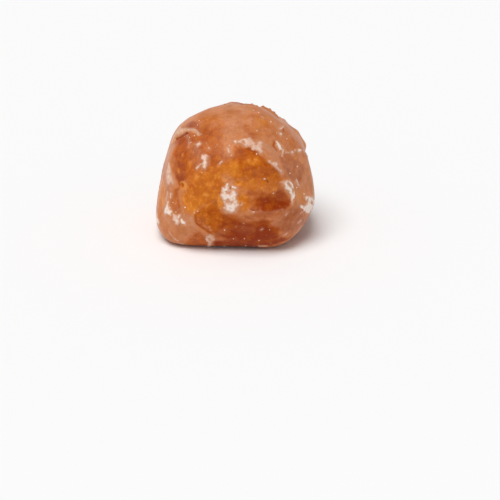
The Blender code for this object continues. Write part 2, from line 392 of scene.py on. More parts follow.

# Narrow flakes: whiteness, half width, and the places that each one runs through. One, low on the left, is
# also a painted highlight along a ridge
SHOWN_STROKES = (
    (0.8, 0.28, ((282.5, 150), (282.6, 153.3), (281.9, 156))),
    (0.55, 0.22, ((285.6, 152.6), (288.4, 153.2))),
    (0.65, 0.22, ((294.4, 150.6), (295.9, 149.9))),
    (0.8, 0.24, ((303.7, 150.8), (304.4, 152.2))),
    (0.75, 0.26, ((167.5, 192.2), (165.9, 199.6))),
    (0.9, 0.28, ((170.7, 194), (171, 197.6))),
    (0.8, 0.3, ((197, 168.4), (200.4, 164.4))),
    (0.42, 0.17, ((208.4, 147), (208.9, 148.6))),
    (0.42, 0.26, ((219.6, 163.6), (222, 161))),
    # Partly sugar, partly painted highlight: a white stroke along the lit ridge low on the left
    (0.55, 0.2, ((169.8, 231.4), (172, 235), (178.4, 241))),
    (0.55, 0.3, ((188.4, 130.2), (193.5, 129.8), (197.5, 131), (199, 134.2))),
    (0.7, 0.22, ((284.6, 235), (287, 233.4))),
    (0.65, 0.2, ((285.4, 215.4), (287, 213.6))),
    (0.75, 0.2, ((298.3, 222.8), (300.8, 220.6))),
    (0.6, 0.18, ((300.4, 213.6), (302, 212))),
    (0.5, 0.17, ((261.2, 230), (263.4, 228.8))),
    (0.85, 0.24, ((296.2, 179.6), (297.4, 182.4), (298.8, 185.2))),
    (0.6, 0.22, ((252.6, 211.6), (254, 212.2))),
    (0.55, 0.22, ((241, 205.4), (242.4, 203.6))),
    (0.8, 0.3, ((180, 243.6), (183.6, 244.4))),
    (0.38, 0.2, ((262, 116.6), (264, 118))),
    (0.75, 0.34, ((259.6, 246.4), (266, 246))),
)

# Broad flakes: whiteness, the corners of the outline, and strokes that leave gaps in it. Two are painted
# highlights as whiter sheets: the glint on the large flake and the bright edge low on the left outline
SHOWN_PATCHES = (
    (1, (
        (226.3, 183.6), (228.1, 183), (229.8, 186.5), (229.2, 189.4), (231.5, 189.9), (235.5, 189.4),
        (236.7, 193.9), (237.3, 199.7), (238.7, 205.4), (236.1, 209.4), (232.7, 212.9), (229.2, 212.9),
        (225.2, 210.6), (224.1, 207.7), (225.2, 204.9), (222.9, 200.8), (222, 198), (220.3, 197.4),
        (220, 195.1), (221.8, 192.2), (221.8, 187.6), (224.6, 187.6),
    ), (0.22, ((227.4, 200.6), (231.4, 202.4))), (0.15, ((226.6, 191.8), (230, 192.2)))),
    # Painted glint on the large flake: the whitest sheet, where light glints
    (1.5, ((231.3, 186.3), (232.6, 185.7), (236.8, 187.3), (236.2, 189.2), (233.4, 188.5), (231.6, 187.5))),
    (0.58, (
        (238.1, 141.4), (243, 138.7), (246.8, 137.8), (250.6, 137.8), (253.9, 140.8), (256, 144.2),
        (257.6, 141.4), (260.4, 140.8), (263.1, 142.4), (262, 145.2), (262.5, 148.4), (263.1, 152.2),
        (260.4, 153), (258.2, 151.7), (255.5, 150.4), (252.8, 150), (250.6, 147.4), (247.9, 146.4),
        (245.7, 147.3), (243, 145.2), (241.7, 143), (238.1, 142.6),
    ), (0.14, ((243.4, 141), (244.4, 143.2)))),
    (0.85, ((233.3, 141.4), (234.9, 140.2), (237, 140.7), (236.8, 143), (234.9, 143.8))),
    (0.85, (
        (267.9, 160.9), (270.1, 160), (272.8, 162.3), (276.6, 162), (278.4, 164.1), (277, 166.3),
        (279, 167.9), (282.3, 171.2), (281, 172.4), (276.6, 169.2), (273.4, 166.5), (271.2, 164.4),
        (268.5, 162.2),
    )),
    (1.25, (
        (281.6, 182), (283.8, 181), (287, 180.1), (289.7, 181), (292.5, 183.7), (293.5, 187.5),
        (294.6, 191.3), (295.2, 194.5), (294.1, 197.2), (293.5, 198.8), (293.3, 202.1), (292.7, 204.8),
        (291.1, 203.2), (291.2, 199.4), (290.6, 197.2), (290, 194), (289.7, 191.8), (287, 190.7),
        (284.9, 189.1), (284.1, 185.8), (283.2, 183.1),
    ), (0.2, ((288.4, 183.1), (290.8, 186.9), (293.2, 191)))),
    (1.3, (
        (304.6, 197), (310.3, 196.6), (313.6, 198.4), (315.4, 201.6), (315.6, 208), (313.6, 213),
        (310.6, 211.4), (307, 212.8), (304.4, 210.2), (302.2, 208.1), (299.5, 206.6), (300.9, 204.3),
        (303.3, 205.9), (305.5, 205.4), (307.1, 202.1),
    ), (0.28, ((311, 201.8), (312.3, 203.6))), (0.15, ((311.6, 207.8), (312.8, 207.4)))),
    (0.6, (
        (168.9, 162), (170.5, 165), (171, 168.7), (172.3, 175), (173.4, 179), (173.8, 182), (172.4, 184.8),
        (170.9, 183.4), (169.5, 185.2), (167.8, 185.9), (166.6, 181.9), (166.2, 176.3), (166.5, 171.3),
        (167.7, 166.6),
    )),
    (1.1, (
        (167, 201), (169.2, 201.6), (168.9, 205.6), (170.4, 208), (172, 211.7), (171.2, 215.6),
        (167.8, 214.4), (164.2, 214), (164.6, 209.4), (165.6, 205),
    )),
    (0.95, (
        (173.2, 213.8), (176.4, 214.4), (178, 216.4), (179, 214), (181.4, 213.2), (180.6, 217.2),
        (178.8, 219.4), (179.8, 222.4), (178, 225), (174.8, 224), (174.8, 221.2), (172.6, 220.2),
        (173.2, 217.4),
    )),
    (1.5, (
        (180.6, 219), (182.2, 218), (183.2, 220.6), (186, 222.2), (184.9, 224.6), (181.8, 223.6),
        (180.5, 221),
    )),
    # Painted highlight: a white sheet along the lower left outline, where the light catches the edge
    (1.5, ((155, 212.4), (156.8, 213.4), (157.6, 218), (159.6, 222), (158.4, 224.4), (156, 222), (155, 217))),
    (1.5, (
        (275.3, 141.3), (276.9, 140.9), (279.3, 143), (280.9, 145.7), (281.3, 149.6), (279.5, 150),
        (277.5, 147.9), (275.9, 144.6),
    )),
    (0.62, (
        (204.6, 235.3), (206.5, 234), (208, 235.6), (210.3, 234.5), (213.9, 236.4), (214.5, 239.3),
        (212.2, 241), (211.6, 243.9), (210.5, 246.7), (208, 246.5), (207.7, 242.7), (205.5, 239.9),
    ), (0.14, ((209.4, 238.4), (210.4, 240)))),
    (0.85, (
        (201.4, 155), (204.8, 153.8), (207.8, 156.4), (207, 160), (207.8, 163.4), (206.2, 167),
        (204.6, 169.6), (202.4, 167.4), (201.8, 163.8), (203, 160.4), (201, 158),
    )),
    (0.85, (
        (194.9, 144.1), (197.2, 143.3), (199.8, 142), (201.3, 144.1), (199.8, 145.8), (197.2, 147.2),
        (195.7, 145.6),
    )),
    (0.75, ((226.3, 148.3), (228.3, 147.5), (230.4, 152.5), (228.1, 153.4))),
    (1.2, ((279.5, 128.5), (281.5, 126.8), (283.5, 125.5), (282.8, 128.4), (281.7, 129.6), (280, 129.6))),
    (1.2, ((278.8, 133), (280.6, 132.5), (282.3, 134.4), (281.2, 135.8), (279.7, 134.7))),
    (1, ((290, 153.4), (291.4, 150.9), (293.2, 150.9), (293, 153.8))),
    (1.3, ((297.4, 150.4), (298.6, 149), (300.9, 149.4), (301.2, 151.6), (299.2, 152.4), (297.6, 151.8))),
)

# Crumbs: the place and the radius
SHOWN_CRUMBS = (
    (270.7, 122.1, 0.3), (264.5, 178.9, 0.32), (273.2, 193.4, 0.24), (253.7, 211.9, 0.22),
    (185, 207.6, 0.24), (194.2, 212.9, 0.2), (197.8, 211.4, 0.2), (224.6, 230, 0.24),
    (233.4, 238.6, 0.22), (244.4, 238.6, 0.22), (224.4, 246.2, 0.3), (209, 246, 0.3),
    (246, 245.8, 0.26), (254, 246.4, 0.22), (259, 240.4, 0.22), (194.3, 135.4, 0.2),
    (189.8, 137.8, 0.24), (190.9, 142.5, 0.2), (229.6, 145.6, 0.18), (297, 166.6, 0.22),
    (289.6, 173.4, 0.2), (176.2, 212, 0.22), (173, 202.6, 0.24), (253.6, 110.4, 0.24),
    (231.4, 155.4, 0.18), (202, 172.6, 0.2), (199.6, 120.8, 0.22), (197.4, 125, 0.18),
    (257, 130.8, 0.18), (256.6, 154, 0.26), (286.6, 139, 0.18), (303.8, 193.8, 0.24),
    (296.6, 187.6, 0.22), (258.6, 112.6, 0.2), (276.4, 133.4, 0.16), (269.6, 229.8, 0.18),
)

# Flakes of the hidden sides: half width, and the azimuths and elevations in degrees that each runs through
HIDDEN_FLAKES = (
    (0.5, ((125, 39), (129, 36), (133, 33))),
    (0.75, ((134, 5), (138, -2), (139, -10))),
    (0.8, ((163, 44), (170, 47), (176, 46), (183, 47))),
    (0.4, ((166, 40), (168, 36))),
    (0.6, ((-171, -10), (-166, -13), (-161, -15))),
    (0.7, ((-153, 29), (-149, 33), (-146, 37))),
    (0.7, ((-128, -18), (-122, -18), (-116, -15))),
)

# Further flakes of the hidden sides, by seeded chance: how many, smallest and largest size, and how much they
# may face the camera, as the cosine of the angle
HIDDEN_PATCHES = (
    (5, 1.7, 2.6, -0.16),
    (16, 0.7, 1.4, -0.08),
    (36, 0.25, 0.55, 0),
)

# How white the flakes of the hidden sides are: the placed ones, and the least and most of the others
HIDDEN_WHITENESS = 0.95
WHITENESS_RANGE = (0.6, 1.1)

# Relief and crumbs of the hidden sides, by seeded chance: how many, smallest and largest half width or radius
HIDDEN_RIDGES = (26, 0.22, 0.5)
HIDDEN_PITS = (7, 0.35, 0.7)
HIDDEN_BLISTERS = (46, 0.3, 0.7)
HIDDEN_CRUMBS = (56, 0.12, 0.26)

# The heights, steps and stride of those ridges, how deep the pits and how high the blisters are as shares of
# their radius, and the rim of the pits
RIDGE_HEIGHTS = (0.14, 0.12, -0.14, 0.2)
RIDGE_STEPS = (3, 5)
RIDGE_STRIDE = 1.6 * MM
PIT_DEPTH = 0.5
BLISTER_HEIGHT = 0.3
PIT_RIM = 0.1 * MM

# The sine of the lowest elevation where chance puts anything
LOWEST_PLACE = -0.6

# What a step over the surface is divided by for its angle at the lump's centre, and the least such radius
USUAL_RADIUS = 20 * MM
LEAST_RADIUS = 13 * MM


def load_lump():
    """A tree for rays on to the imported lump's surface."""
    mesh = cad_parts["doughnut"].data
    points = [vertex.co.copy() for vertex in mesh.vertices]
    return BVHTree.FromPolygons(points, [tuple(face.vertices) for face in mesh.polygons])


def camera_place():
    """Where the camera stands, so that the lump's middle shows at its pixel."""
    across = (MIDDLE_SEEN_AT[0] - PHOTO_MIDDLE) * PIXEL
    above = (PHOTO_MIDDLE - MIDDLE_SEEN_AT[1]) * PIXEL
    return MIDDLE - RIGHT * across - UP * above + BACK * FOCAL * PIXEL


def seen_at(pixel):
    """The unit vector from the lump's centre towards what a pixel of the photograph shows."""
    start = camera_place()
    ray = RIGHT * (pixel[0] - PHOTO_MIDDLE) + UP * (PHOTO_MIDDLE - pixel[1]) - BACK * FOCAL
    ray.normalize()
    hit = lump_tree.ray_cast(start, ray)[0]
    if hit is None:
        hit = start + ray * (CENTRE - start).dot(ray)
    return np.array((hit - CENTRE).normalized())


def all_seen_at(pixels):
    """The unit vectors towards what several pixels show."""
    return [seen_at(pixel) for pixel in pixels]


def towards(place):
    """The unit vector from the lump's centre towards an azimuth and an elevation."""
    a = math.radians(place[0])
    e = math.radians(place[1])
    return np.array([math.sin(a) * math.cos(e), -math.cos(a) * math.cos(e), math.sin(e)])


def smooth_step(low, high, values):
    """0 below low, 1 above high, and a smooth rise between them."""
    share = np.clip((values - low) / (high - low), 0, 1)
    return share * share * (3 - 2 * share)


def noise_at(points, length, start):
    """Smooth noise, from about -1 to 1, at each point."""
    offset = Vector((start, start, start))
    return np.array([noise.noise(Vector(point) / length + offset) for point in points])


def waves_at(points, waves):
    """Several noises in one, each with its height, the length of its waves and where it starts."""
    return sum(height * noise_at(points, length, start) for height, length, start in waves)


def unit(vectors):
    """Each vector at length 1."""
    return vectors / np.linalg.norm(vectors, axis=1)[:, None]


def middle_of(corners):
    """The unit vector towards the middle of the corners."""
    middle = np.mean(corners, axis=0)
    return middle / np.linalg.norm(middle)


def side_and_upward(middle):
    """The unit vectors that run level and upward along the surface at a direction."""
    side = np.cross([0.0, 0.0, 1.0], middle)
    side /= np.linalg.norm(side)
    return side, np.cross(middle, side)


def facing_camera(directions):
    """The cosine of the angle between each direction and the one towards the camera."""
    return directions @ np.array(BACK)


def wobbled(directions, radii):
    """The directions shifted by noise, so that what is drawn with them gets an uneven outline."""
    points = directions * radii[:, None]
    shifted = points.copy()
    for shift, length, start in WOBBLES:
        for axis in range(3):
            shifted[:, axis] += shift * noise_at(points, length, start + axis * NEXT_AXIS)
    return unit(shifted)


def distance_to_path(directions, radii, corners):
    """Distance over the surface from each direction to a run of straight lines through the corners."""
    nearest = np.full(len(directions), np.inf)
    starts = corners[:-1] or corners
    ends = corners[1:] or corners
    for start, end in zip(starts, ends):
        line = end - start
        length = max(line @ line, 1e-12)
        share = np.clip((directions - start) @ line / length, 0, 1)
        gap = np.linalg.norm(directions - start - share[:, None] * line, axis=1)
        nearest = np.minimum(nearest, gap)
    return nearest * radii


def nearness(directions, radii, corners, half_width):
    """1 on a run of lines, about a third at its half width from it, and 0 far away."""
    away = distance_to_path(directions, radii, corners) / half_width
    return np.exp(-away ** 2)


def flattened(directions, middle):
    """Each direction's place on a flat map around the middle one, in radians."""
    side, upward = side_and_upward(middle)
    turned = np.arccos(np.clip(directions @ middle, -1, 1))
    across = directions @ side
    up = directions @ upward
    length = np.maximum(np.hypot(across, up), 1e-9)
    return np.stack([across / length * turned, up / length * turned], axis=1)


def depth_inside(directions, radii, corners):
    """How far each direction lies inside an outline, in metres, and below 0 outside it."""
    middle = middle_of(corners)
    places = flattened(directions, middle)
    outline = flattened(np.array(corners), middle)
    nearest = np.full(len(directions), np.inf)
    enclosed = np.zeros(len(directions), dtype=bool)
    for start, end in zip(outline, np.roll(outline, -1, axis=0)):
        line = end - start
        share = np.clip((places - start) @ line / (line @ line), 0, 1)
        gap = np.linalg.norm(places - start - share[:, None] * line, axis=1)
        nearest = np.minimum(nearest, gap)
        crosses = (start[1] > places[:, 1]) != (end[1] > places[:, 1])
        rise = line[1] if abs(line[1]) > 1e-9 else 1e-9
        crossing = start[0] + (places[:, 1] - start[1]) / rise * line[0]
        enclosed ^= crosses & (places[:, 0] < crossing)
    return np.where(enclosed, nearest, -nearest) * radii


def fine_ball(name):
    """A ball of radius 1 with fine even squares, whose six cube sides lie side by side in its UV map."""
    mesh = bpy.data.meshes.new(name)
    shell = bmesh.new()
    bmesh.ops.create_cube(shell, size=2.0)
    bmesh.ops.subdivide_edges(shell, edges=shell.edges[:], cuts=SKIN_SEGMENTS - 1, use_grid_fill=True)
    shell.to_mesh(mesh)
    shell.free()
    corners = np.zeros(len(mesh.vertices) * 3)
    mesh.vertices.foreach_get("co", corners)
    cube = corners.reshape(-1, 3)
    lay_out(mesh, cube)
    ball = np.tan(cube * math.pi / 4)
    return mesh, unit(ball)


def lay_out(mesh, cube):
    """The UV map: each side of the cube has its own square, in two rows of three, with a gap between them."""
    vertex_of = np.zeros(len(mesh.loops), dtype=int)
    mesh.loops.foreach_get("vertex_index", vertex_of)
    corners = cube[vertex_of].reshape(-1, 4, 3)
    middles = corners.mean(axis=1)
    axis = np.abs(middles).argmax(axis=1)
    positive = middles[np.arange(len(axis)), axis] > 0
    first = np.where(axis == 0, 1, 0)
    second = np.where(axis == 2, 1, 2)
    rows = np.arange(len(axis))[:, None]
    columns = np.arange(4)[None, :]
    across = (corners[rows, columns, first[:, None]] + 1) / 2
    up = (corners[rows, columns, second[:, None]] + 1) / 2
    width = (1 - 4 * UV_GAP) / 3
    height = (1 - 3 * UV_GAP) / 2
    u = UV_GAP + axis[:, None] * (width + UV_GAP) + across * width
    v = UV_GAP + positive[:, None] * (height + UV_GAP) + up * height
    uv_map = mesh.uv_layers.new(name="OFBake")
    uv_map.uv.foreach_set("vector", np.stack([u, v], axis=2).astype(np.float32).ravel())


def smoothed(mesh, values):
    """The values after rounds of drawing each one towards the mean of its neighbours."""
    ends = np.zeros(len(mesh.edges) * 2, dtype=int)
    mesh.edges.foreach_get("vertices", ends)
    first, second = ends.reshape(-1, 2).T
    count = np.bincount(first, minlength=len(values)) + np.bincount(second, minlength=len(values))
    for _ in range(SMOOTHING_ROUNDS):
        total = np.bincount(first, values[second], len(values))
        total += np.bincount(second, values[first], len(values))
        values = values + SMOOTHING_SHARE * (total / count - values)
    return values


def away_from(directions, radii, middle, radius):
    """How far each direction is from a middle one, as a share of a radius on the surface."""
    return np.linalg.norm(directions - middle, axis=1) * radii / radius


def pit(directions, radii, middle, radius, depth, rim):
    """A round pit with a raised rim."""
    away = away_from(directions, radii, middle, radius)
    return rim * np.exp(-((away - 1.3) / 0.4) ** 2) - depth * np.exp(-away ** 4)


def blister(directions, radii, middle, radius, height):
    """A round bubble of glaze."""
    return height * np.exp(-away_from(directions, radii, middle, radius) ** 3)


def hidden_side_relief(directions, radii):
    """Ridges, pits and blisters by seeded chance where the photograph doesn't show the lump."""
    chance = random.Random(7)
    heights = np.zeros(len(directions))
    count, smallest, largest = HIDDEN_RIDGES
    for _ in range(count):
        place = hidden_place(chance, HIDDEN_BELOW)
        path = wandering_path(chance, place, chance.randint(*RIDGE_STEPS), RIDGE_STRIDE)
        ridge = nearness(directions, radii, path, chance.uniform(smallest * MM, largest * MM))
        heights += chance.choice(RIDGE_HEIGHTS) * MM * ridge
    for middle, radius in hidden_spots(chance, *HIDDEN_PITS):
        heights += pit(directions, radii, middle, radius, radius * PIT_DEPTH, PIT_RIM)
    for middle, radius in hidden_spots(chance, *HIDDEN_BLISTERS):
        heights += blister(directions, radii, middle, radius, radius * BLISTER_HEIGHT)
    return heights


def hidden_spots(chance, count, smallest, largest):
    """Middles and radii of round spots by chance on the hidden sides."""
    for _ in range(count):
        radius = chance.uniform(smallest, largest) * MM
        yield towards(hidden_place(chance, HIDDEN_BELOW)), radius


def hidden_place(chance, facing):
    """An azimuth and an elevation by chance, where the lump faces the camera less than this."""
    place = None
    while place is None or facing_camera(towards(place)) > facing:
        place = (chance.uniform(0, 360), math.degrees(math.asin(chance.uniform(LOWEST_PLACE, 1.0))))
    return place


def still_shown(directions, fade):
    """1 where the photograph shows the lump, fading to 0 towards its hidden sides."""
    return smooth_step(*fade, facing_camera(directions))


def wandering_path(chance, place, steps, stride):
    """Directions along a path that starts at a place and turns a little at each step."""
    at = Vector(towards(place))
    level = Vector((0, 0, 1)).cross(at).normalized()
    heading = chance.uniform(0, 2 * math.pi)
    path = [np.array(at)]
    for _ in range(steps):
        heading += chance.uniform(-0.7, 0.7)
        step = level * math.cos(heading) + at.cross(level) * math.sin(heading)
        at = (at + step * stride / USUAL_RADIUS).normalized()
        path.append(np.array(at))
    return path


def uneven_outline(chance, place, size):
    """Directions at the corners of an uneven patch around a place."""
    at = Vector(towards(place))
    level = Vector((0, 0, 1)).cross(at).normalized()
    steep = at.cross(level)
    turn = chance.uniform(0, 2 * math.pi)
    width = chance.uniform(0.4, 0.9)
    count = chance.randint(8, 12)
    corners = []
    for index in range(count):
        angle = 2 * math.pi * (index + chance.uniform(-0.3, 0.3)) / count
        reach = size * chance.uniform(0.5, 1.2) / USUAL_RADIUS
        x = math.cos(angle) * reach
        y = math.sin(angle) * reach * width
        across = x * math.cos(turn) - y * math.sin(turn)
        up = x * math.sin(turn) + y * math.cos(turn)
        corners.append(np.array((at + level * across + steep * up).normalized()))
    return corners


def skin_relief(directions, radii):
    """Height of the fine relief in each direction."""
    points = directions * radii[:, None]
    heights = hidden_side_relief(directions, radii)
    for height, length, start in SKIN_WAVES:
        heights += height * noise_at(points, length, start)
    for half_width, height, pixels in SHOWN_SWELLS + SHOWN_RIDGES:
        heights += height * MM * nearness(directions, radii, all_seen_at(pixels), half_width * MM)
    depth = depth_inside(directions, radii, all_seen_at(LIP))
    lip = smooth_step(-LIP_EDGE / 2, LIP_EDGE / 2, depth)
    heights += LIP_HEIGHT * lip * still_shown(directions, HAZE_FADE)
    for x, y, radius, depth, rim in SHOWN_PITS:
        heights += pit(directions, radii, seen_at((x, y)), radius * MM, depth * MM, rim * MM)
    for x, y, radius, height in SHOWN_BLISTERS + SHOWN_LUMPS:
        heights += blister(directions, radii, seen_at((x, y)), radius * MM, height * MM)
    return heights


def list_flakes():
    """Every flake: its whiteness, its corners, its half width or None for an outline, and the gaps in it."""
    flakes = []
    for whiteness, half_width, pixels in SHOWN_STROKES:
        flakes.append((whiteness, all_seen_at(pixels), half_width * MM, []))
    for whiteness, pixels, *gaps in SHOWN_PATCHES:
        gaps = [(gap * MM, all_seen_at(path)) for gap, path in gaps]
        flakes.append((whiteness, all_seen_at(pixels), None, gaps))
    for half_width, places in HIDDEN_FLAKES:
        flakes.append((HIDDEN_WHITENESS, [towards(place) for place in places], half_width * MM, []))
    chance = random.Random(11)
    for count, smallest, largest, facing in HIDDEN_PATCHES:
        for _ in range(count):
            place = hidden_place(chance, facing)
            outline = uneven_outline(chance, place, chance.uniform(smallest * MM, largest * MM))
            flakes.append((chance.uniform(*WHITENESS_RANGE), outline, None, []))
    return flakes


def near_to(directions, corners, margin):
    """The numbers of the directions that lie within a margin, in metres, of what the corners span."""
    middle = middle_of(corners)
    reach = math.acos(min(np.min(np.array(corners) @ middle), 1.0)) + margin / LEAST_RADIUS
    return np.nonzero(directions @ middle > math.cos(min(reach, math.pi)))[0]


def depth_in_flake(directions, radii, corners, half_width):
    """How far each direction lies inside an outline or, with a half width, inside a band along a path."""
    if half_width is None:
        return depth_inside(directions, radii, corners)
    return half_width - distance_to_path(directions, radii, corners)


def first_coat(directions, points):
    """The film and the tone under the zones: in patches on the hidden sides, and even on the shown one."""
    patches = smooth_step(*PATCH_EDGE, waves_at(points, PATCH_WAVES))
    top = smooth_step(*TOP_EDGE, directions[:, 2])
    film = np.clip(patches * PATCH_FILM + top, 0, MOST_FILM)
    tone = SHOWN_TONE + waves_at(points, TONE_WAVES)
    shown = still_shown(directions, SHOWN_EDGE)
    film += (SHOWN_FILM - film) * shown
    tone += (SHOWN_TONE - tone) * shown
    return film, tone


def painted(directions, radii, flakes):
    """The glaze film, the crust's tone with painted shade, and the sugar haze with painted sheen in each
    direction, from 0 to 1.
    """
    points = directions * radii[:, None]
    film, tone = first_coat(directions, points)
    shown = still_shown(directions, FADE)
    shown_haze = still_shown(directions, HAZE_FADE)
    uneven = wobbled(directions, radii)
    haze_and_sheen = np.zeros(len(directions))
    for zone_film, zone_tone, zone_haze_and_sheen, softness, pixels in ZONES:
        softness *= MM
        corners = all_seen_at(pixels)
        near = near_to(directions, corners, ZONE_MARGIN + softness)
        unevenness = min(max(softness / WOBBLE_SOFTNESS, LEAST_WOBBLE), 1)
        drawn = unit(directions[near] + (uneven[near] - directions[near]) * unevenness)
        depth = depth_inside(drawn, radii[near], corners)
        share = smooth_step(-softness / 2, softness / 2, depth) * shown[near]
        film[near] += (zone_film - film[near]) * share
        tone[near] += (zone_tone - tone[near]) * share
        haze_and_sheen[near] += (zone_haze_and_sheen * shown_haze[near] - haze_and_sheen[near]) * share
    film += film * (1 - film) * waves_at(points, MOTTLE_WAVES)
    slightly = unit(directions + (uneven - directions) * LINE_WOBBLE)
    for x, y, radius, _ in SHOWN_BLISTERS:
        away = away_from(directions, radii, seen_at((x, y)), radius * MM)
        share = BLISTER_SHARE * np.exp(-away ** 2)
        film += (BLISTER_FILM - film) * share
        tone += (1 - tone) * share
    for strength, half_width, pixels in SHOWN_HAZES_AND_SHEENS:
        share = nearness(slightly, radii, all_seen_at(pixels), half_width * MM)
        haze_and_sheen = np.maximum(haze_and_sheen, strength * share * shown)
    for whiteness, corners, half_width, _ in flakes:
        near = near_to(directions, corners, ZONE_MARGIN)
        depth = depth_in_flake(slightly[near], radii[near], corners, half_width)
        share = smooth_step(-FLAKE_HALO, HALO_FULL, depth)
        haze_and_sheen[near] = np.maximum(haze_and_sheen[near], HALO_HAZE * min(whiteness, 1) * share)
    # Painted shade in the creases: darker tone, with little film and no haze
    for half_width, zone_tone, pixels in SHOWN_SHADED_CREASES:
        share = nearness(slightly, radii, all_seen_at(pixels), half_width * MM)
        film += (CREASE_FILM - film) * share
        tone += (zone_tone - tone) * share
        haze_and_sheen -= haze_and_sheen * share
    return np.clip(film, 0, 1), np.clip(tone, 0, 1), haze_and_sheen


def smooth_piece(mesh):
    """An object for a mesh, in the scene, with smooth shading."""
    mesh.shade_smooth()
    mesh.update()
    piece = bpy.data.objects.new(mesh.name, mesh)
    bpy.context.scene.collection.objects.link(piece)
    return piece


def make_skin(flakes):
    """The lump's visible skin."""
    mesh, directions = fine_ball("glazed_dough")
    hits = [lump_tree.ray_cast(CENTRE, Vector(direction))[0] for direction in directions]
    radii = smoothed(mesh, np.array([(hit - CENTRE).length for hit in hits]))
    film, tone, haze_and_sheen = painted(directions, radii, flakes)
    radii = radii + skin_relief(directions, radii) + FILM_STEP * (film - 0.5)
    points = directions * radii[:, None] + np.array(CENTRE)
    points[:, 2] = np.clip(points[:, 2], 0, None)
    mesh.vertices.foreach_set("co", points.astype(np.float32).ravel())
    for name, values in (("film", film), ("tone", tone), ("haze_and_sheen", haze_and_sheen)):
        mesh.attributes.new(name, "FLOAT", "POINT").data.foreach_set("value", values.astype(np.float32))
    return smooth_piece(mesh)


# Flakes: the spacing of their points, their thickness, how wide their edge is, how far below the skin it ends
# and how far inside the outline the sugar is whitest
FLAKE_GRID = 0.12 * MM
FLAKE_THICKNESS = 0.14 * MM
FLAKE_EDGE = 0.30 * MM
FLAKE_ROOT = 0.18 * MM
FLAKE_WHITE_FROM = 0.50 * MM

# Noise that makes a flake ragged: shift, length of its waves, and where it starts. A flake below full size
# has less of it, down to the least share, and a narrow one, or one that hardly faces the camera, has more
FLAKE_RAGGED = ((0.34 * MM, 1.2 * MM, 81.0), (0.28 * MM, 0.55 * MM, 83.0), (0.14 * MM, 0.26 * MM, 85.0))
FLAKE_FULL_SIZE = 1.0 * MM
LEAST_RAGGED = 0.25
MORE_RAGGED = 1.8
EDGE_OF_VIEW = 0.40

# A flake whose middle faces the camera more than the last of these thins out towards the edge of view: the
# depth that it loses there, and the cosines of the angle between which it loses it
EDGE_LOSS = 1.2 * MM
EDGE_FADE = (0.0, 0.22)
LEAST_FACING = 0.12


def flake_grid(middle, radius, corners, half_width):
    """Directions in an even grid over a flake, and the quads between them."""
    side, upward = side_and_upward(middle)
    flat = np.array([[corner @ side, corner @ upward] for corner in corners])
    flat *= radius / (np.array(corners) @ middle)[:, None]
    margin = (half_width or 0) + 3 * FLAKE_EDGE
    low = flat.min(axis=0) - margin
    count = np.ceil((flat.max(axis=0) + margin - low) / FLAKE_GRID).astype(int) + 1
    across, up = np.meshgrid(np.arange(count[0]), np.arange(count[1]), indexing="ij")
    across = low[0] + across.ravel() * FLAKE_GRID
    up = low[1] + up.ravel() * FLAKE_GRID
    directions = unit(middle + (across[:, None] * side + up[:, None] * upward) / radius)
    grid = np.arange(count[0] * count[1]).reshape(count)
    quads = np.stack([grid[:-1, :-1], grid[1:, :-1], grid[1:, 1:], grid[:-1, 1:]], axis=2)
    return directions, quads.reshape(-1, 4)


def ragged_depth(directions, radius, middle, corners, half_width, gaps):
    """How far each direction lies inside a flake, with its ragged outline and its gaps."""
    depth = depth_in_flake(directions, radius, corners, half_width)
    if facing_camera(middle) > LEAST_FACING:
        depth -= EDGE_LOSS * (1 - still_shown(directions, EDGE_FADE))
    ragged = np.clip(depth.max() / FLAKE_FULL_SIZE, LEAST_RAGGED, 1)
    if half_width is not None or facing_camera(middle) < EDGE_OF_VIEW:
        ragged *= MORE_RAGGED
    uneven = np.zeros(len(directions))
    for height, length, start in FLAKE_RAGGED:
        uneven += ragged * height * noise_at(directions * radius, length, start)
    depth += uneven
    for gap, path in gaps:
        depth = np.minimum(depth, distance_to_path(directions, radius, path) - gap + uneven)
    return depth


def add_flake(shell, whiteness_layer, skin_tree, whiteness, corners, half_width, gaps):
    """One flake of sugar as a closed thin shell that lies on the skin and ends a little below it.

    It fills the outline through the corners or, with a half width, it follows the path through them.
    """
    middle = middle_of(corners)
    radius = (skin_tree.ray_cast(CENTRE, Vector(middle))[0] - CENTRE).length
    directions, quads = flake_grid(middle, radius, corners, half_width)
    depth = ragged_depth(directions, radius, middle, corners, half_width, gaps)
    rough = noise_at(directions * radius, 0.5 * MM, 87.0)
    share = np.clip(depth / FLAKE_EDGE, -1, 1)
    above = smooth_step(0, 1, share) * FLAKE_THICKNESS * (1 + 0.3 * rough)
    rise = np.where(share > 0, above, share * FLAKE_ROOT)
    white_from = min(FLAKE_WHITE_FROM, max(depth.max(), FLAKE_GRID))
    white = whiteness * np.clip(0.25 + 0.75 * depth / white_from, 0, 1)
    white *= 1 + 0.30 * noise_at(directions * radius, 0.9 * MM, 89.0) + 0.15 * rough
    quads = quads[(depth > -FLAKE_EDGE)[quads].any(axis=1)]
    tops = {}
    bottoms = {}
    for index in np.unique(quads):
        ray = Vector(directions[index])
        surface = (skin_tree.ray_cast(CENTRE, ray)[0] - CENTRE).length
        top = CENTRE + ray * (surface + rise[index])
        bottom = CENTRE + ray * (surface - 2 * FLAKE_ROOT)
        for point in (top, bottom):
            point.z = max(point.z, 0.0)
        tops[index] = shell.verts.new(top)
        bottoms[index] = shell.verts.new(bottom)
        tops[index][whiteness_layer] = float(white[index])
    for quad in quads:
        shell.faces.new([tops[index] for index in quad])
        shell.faces.new([bottoms[index] for index in reversed(quad)])
    for start, end in open_sides(quads):
        shell.faces.new([tops[end], tops[start], bottoms[start], bottoms[end]])


def open_sides(quads):
    """The sides that only one of the quads has, in the order in which it runs through them."""
    found = set()
    for quad in quads:
        found.update((int(start), int(end)) for start, end in zip(quad, np.roll(quad, -1)))
    return [(start, end) for start, end in sorted(found) if (end, start) not in found]


